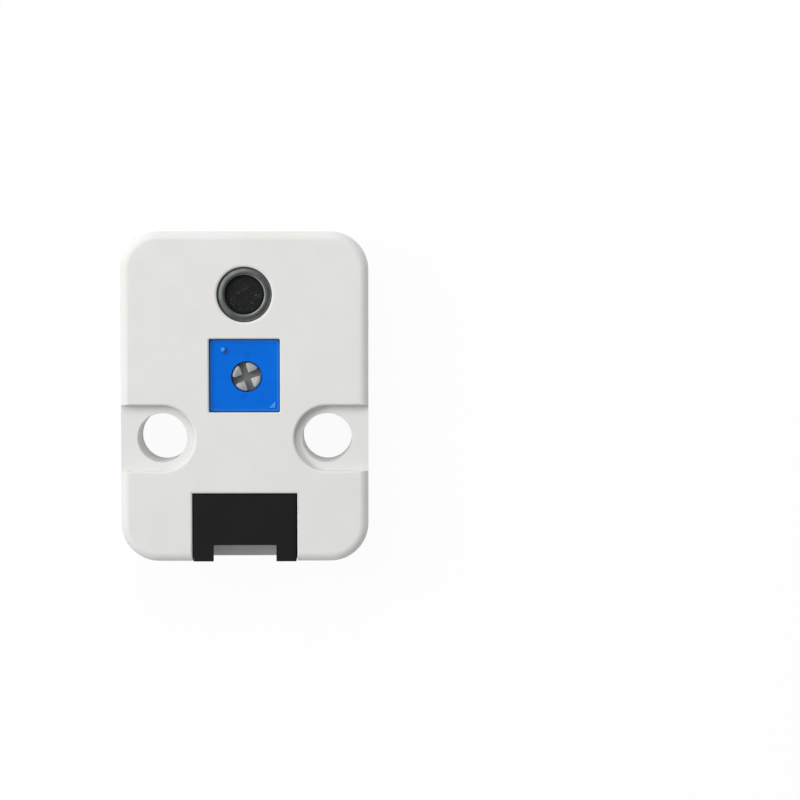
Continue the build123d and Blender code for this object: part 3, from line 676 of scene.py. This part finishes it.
# Painted highlight: the housing's edges near its face and its raised marks are coloured lighter.
edge_highlight_line = (to_edge + edge_highlight_wander * haze).between(-0.2 * mm, -0.04 * mm)
edge_highlight = edge_highlight_line * near_face * edge_highlight_share
mark_highlight = (proud + 0.01 * mm * haze).between(trimmer_face + 0.04 * mm, trimmer_face + 0.09 * mm)
painted_highlight = mark_highlight.maths("MAXIMUM", mark_highlight, edge_highlight)
plain = flow.between(0.3, 0.7).blend(tone((0, 107, 221)), tone((0, 103, 212)))
# The painted shadow is an oval patch, ragged at its rim, darker than the blue.
aside = across - painted_shadow_x
along = painted_shadow_squeeze * (across.other("Y") - painted_shadow_y)
from_painted_shadow = (aside * aside + along * along) ** 0.5
ragged = from_painted_shadow + painted_shadow_wander * haze
painted_shadow = ragged.between(1.35 * painted_shadow_radius, 0.9 * painted_shadow_radius) * near_face
with_painted_shadow = (painted_shadow_share * painted_shadow).blend(plain, tone((24, 80, 150)))
blue.set(
    Base_Color=painted_highlight.blend(with_painted_shadow, tone((70, 150, 236))),
    Roughness=0.28 + 0.12 * haze,
    Normal=haze.relief(0.002 * mm),
    Specular_IOR_Level=0.12,
)
trimmer_housing = dressed("trimmer_housing")
bpy.ops.object.mode_set(mode="EDIT")
bpy.ops.mesh.select_mode(type="FACE")
bpy.ops.mesh.select_all(action="DESELECT")
bpy.ops.object.mode_set(mode="OBJECT")
for face in trimmer_housing.data.polygons:
    face.select = face.center.z > below_marks and face.normal.z > facing_up
bpy.ops.object.mode_set(mode="EDIT")
for inward, rise in mark_steps:
    bpy.ops.mesh.inset(thickness=inward, depth=rise)
bpy.ops.object.mode_set(mode="OBJECT")
blue.cover(trimmer_housing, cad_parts["trimmer_base"])
brass.cover(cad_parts["trimmer_wiper"])
silicone = satin_plastic(
    "seal_silicone", (120, 34, 24), (104, 28, 20), roughness=0.45, grain=0.05 * mm
)
silicone.cover(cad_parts["trimmer_seal"])
nickel = Finish("worn_nickel")
scuffs = nickel.place.noise(0.22 * mm, detail=4, roughness=0.65)
scratches = nickel.place.noise(0.05 * mm, detail=3, stretch=(1, 0.15, 1))
slot_floor = 6.68 * mm
slot_brim = 7.33 * mm
level = nickel.place.node("SeparateXYZ", {"Vector": nickel.place}).other("Z")
# Painted shade: the slot is coloured darker and less metallic towards its floor.
painted_slot_shade = (level + 0.12 * mm * scuffs).between(slot_brim, slot_floor)
worn = scuffs.between(0.35, 0.68).blend(tone((236, 234, 229)), tone((204, 203, 199)))
nickel.set(
    Base_Color=painted_slot_shade.blend(worn, tone((122, 130, 125))),
    Metallic=0.85 - 0.5 * painted_slot_shade,
    Roughness=0.36 + 0.2 * scuffs + 0.1 * scratches,
    Normal=scratches.relief(0.004 * mm, normal=scuffs.relief(0.008 * mm)),
)
rotor_axis = (0.2 * mm, 1.95 * mm)
rotor_arm = math.radians(20)
slot_mouth = [
    (0.630, 1.060),
    (0.680, 1.140),
    (0.770, 1.220),
    (0.900, 1.290),
    (1.080, 1.345),
    (1.300, 1.375),
    (1.300, 1.700),
]
slot_height = 1.0 * mm
slot_clearance = 0.02 * mm
slot_middle = slot_floor + slot_clearance + slot_height / 2
lobe_rims_above = 7.375 * mm
lobe_edge = 0.04 * mm
bpy.ops.object.select_all(action="DESELECT")
width, reach = slot_mouth[0]
bpy.ops.mesh.primitive_plane_add(size=1, location=(0, 0, 0), rotation=(math.pi / 2, 0, 0))
flare = bpy.context.object
bpy.ops.object.mode_set(mode="EDIT")
bpy.ops.mesh.select_all(action="SELECT")
bpy.ops.transform.resize(value=(width * mm, 1, slot_height), center_override=(0, 0, 0))
bpy.ops.transform.translate(value=(0, reach * mm, slot_middle))
for next_width, next_reach in slot_mouth[1:]:
    onward = (next_reach - reach) * mm
    draw_out((0, onward, 0), (next_width / width, 1, 1), (0, 0, 0))
    width, reach = next_width, next_reach
close_up()
flares = []
for quarter in range(4):
    copy = bpy.data.objects.new("flare", flare.data.copy())
    copy.data.transform(Matrix.Rotation(rotor_arm + quarter * math.pi / 2, 4, "Z"))
    copy.data.transform(Matrix.Translation((*rotor_axis, 0)))
    bpy.context.collection.objects.link(copy)
    flares.append(copy)
bpy.data.objects.remove(flare)


def on_lobe(ends):
    """Tells an edge of the top rims of the rotor's four lobes."""
    return all(end.z > lobe_rims_above for end in ends)


trimmer_rotor = dressed(
    "trimmer_rotor",
    body="rotor",
    cutter=joined(flares),
    rims=[(on_lobe, lobe_edge)],
)
nickel.cover(trimmer_rotor)


# Front shell: the upper half of the case, in the same white ABS, with the round opening for
# the microphone, the trimmer's window, the socket's cut-out and the two pockets.
front_shell = dressed("front_shell", rims=case_rims)
white_abs.cover(front_shell)


# Studio: a pale floor and a soft tent of light, brightest at the upper left, and a camera
# straight above the module, a little to its right and towards the microphone's end.
camera_place = Vector((10.7, 11.8, 243.0)) * mm
camera_aim = Vector((15.05, -0.3, 8.0)) * mm
field_width = 77.45 * mm
sensor_width = 36.0
forward = (camera_aim - camera_place).normalized()
rightward = forward.cross(Vector((0, 1, 0))).normalized()
upward = rightward.cross(forward)
camera_data = bpy.data.cameras.new("camera")
camera_data.sensor_width = sensor_width
camera_data.lens = sensor_width * (camera_aim - camera_place).length / field_width
camera_data.clip_start = 0.01
camera_data.clip_end = 10.0
camera = bpy.data.objects.new("camera", camera_data)
turn = Matrix((rightward, upward, -forward)).transposed().to_4x4()
camera.matrix_world = Matrix.Translation(camera_place) @ turn
bpy.context.collection.objects.link(camera)
bpy.context.scene.camera = camera

floor_side = 3.0
floor_height = -0.01 * mm
bpy.ops.object.select_all(action="DESELECT")
bpy.ops.mesh.primitive_plane_add(size=floor_side, location=(0, 0, floor_height))
floor = bpy.context.object
floor.name = "floor"
paper = Finish("white_paper")
pulp = paper.place.noise(2.0 * mm, detail=3)
paper.set(
    Base_Color=pulp.blend(tone((246, 246, 246)), tone((250, 250, 250))),
    Roughness=0.9,
    Normal=pulp.relief(0.02 * mm),
)
paper.cover(floor)
rays = paper.place.node("LightPath", {})
glow = paper.place.node("Emission", {"Color": (1, 1, 1, 1), "Strength": 1.0})
paper_share = 0.95
straight = rays.other("Is Camera Ray") + rays.other("Is Glossy Ray")
paper_shown = paper_share * (straight + rays.other("Is Transmission Ray"))
lit_paper = Wire(rays.tree, paper.shader.outputs["BSDF"])
mixed = paper.place.node("MixShader", {0: paper_shown, 1: lit_paper, 2: glow})
paper.place.feed(paper.material.node_tree.nodes["Material Output"].inputs["Surface"], mixed)

world = bpy.data.worlds.new("tent")
world.use_nodes = True
bpy.context.scene.world = world
tent = world.node_tree
sky = tent.nodes["Background"]
direction = Wire(tent, tent.nodes.new("ShaderNodeTexCoord").outputs["Generated"])
rays = direction.node("LightPath", {})
seen = rays.other("Is Camera Ray")
mirrored = rays.other("Is Glossy Ray")
sideways = direction.node("SeparateXYZ", {"Vector": direction})
lengthways = sideways.other("Y")
upwards = sideways.other("Z")
tent_light = 0.52
even_light = 0.62
slant_light = 0.28
top_light = 0.57
slanting = even_light - slant_light * sideways + slant_light * lengthways
lit = (slanting + top_light * upwards) * tent_light
# What metal and plastic mirror is the tent alone, with its own dark and bright side.
mirror_dark = 0.07
mirror_bright = 1.25
mirror_lean = 1.1
bright_side = lengthways * (2 * upwards - 1) - mirror_lean * sideways
reflected = mirror_dark + mirror_bright * bright_side.between(0.05, 0.55)
strength = lit + seen * (1 - lit) + mirrored * (reflected - lit)
sky.inputs["Color"].default_value = (1, 1, 1, 1)
direction.feed(sky.inputs["Strength"], strength)


def softbox(name, place, side, power):
    """Adds a soft square lamp that points at the module and isn't mirrored in it."""
    data = bpy.data.lights.new(name, "AREA")
    data.shape = "SQUARE"
    data.energy = power
    data.size = side
    lamp = bpy.data.objects.new(name, data)
    lamp.location = place
    lamp.rotation_euler = (-Vector(place)).to_track_quat("-Z", "Y").to_euler()
    lamp.visible_glossy = False
    bpy.context.collection.objects.link(lamp)


softbox("left_window", place=(-0.33, 0.13, 0.33), side=0.2, power=0.98)
softbox("top_window", place=(-0.03, 0.2, 0.225), side=0.12, power=0.22)
bpy.context.scene.view_settings.view_transform = "Standard"
